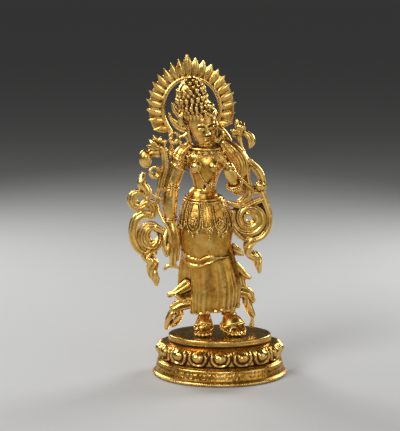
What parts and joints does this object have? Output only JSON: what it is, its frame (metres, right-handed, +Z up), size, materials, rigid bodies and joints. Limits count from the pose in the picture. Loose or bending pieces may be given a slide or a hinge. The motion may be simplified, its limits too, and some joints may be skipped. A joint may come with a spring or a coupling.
{
  "type": "gilt bronze goddess figure",
  "caption": "Standing goddess in gilt bronze with coiling scarves and lotuses, in front of a flaming nimbus, on an oval lotus pedestal.",
  "frame": {"origin": "centre of the oval footprint on the ground, in the plane of the pedestal's underside", "axes": "+Z up, the figure looks towards -Y, +X towards the viewer's right"},
  "size_m": [0.1005, 0.066, 0.2017],
  "materials": {
    "gilt_bronze": "old fire gilding, worn and darkened in the recesses"
  },
  "bodies": {
    "root": {"figure": "gilt_bronze", "flame_nimbus": "gilt_bronze", "lotus_pedestal": "gilt_bronze"}
  },
  "joints": []
}
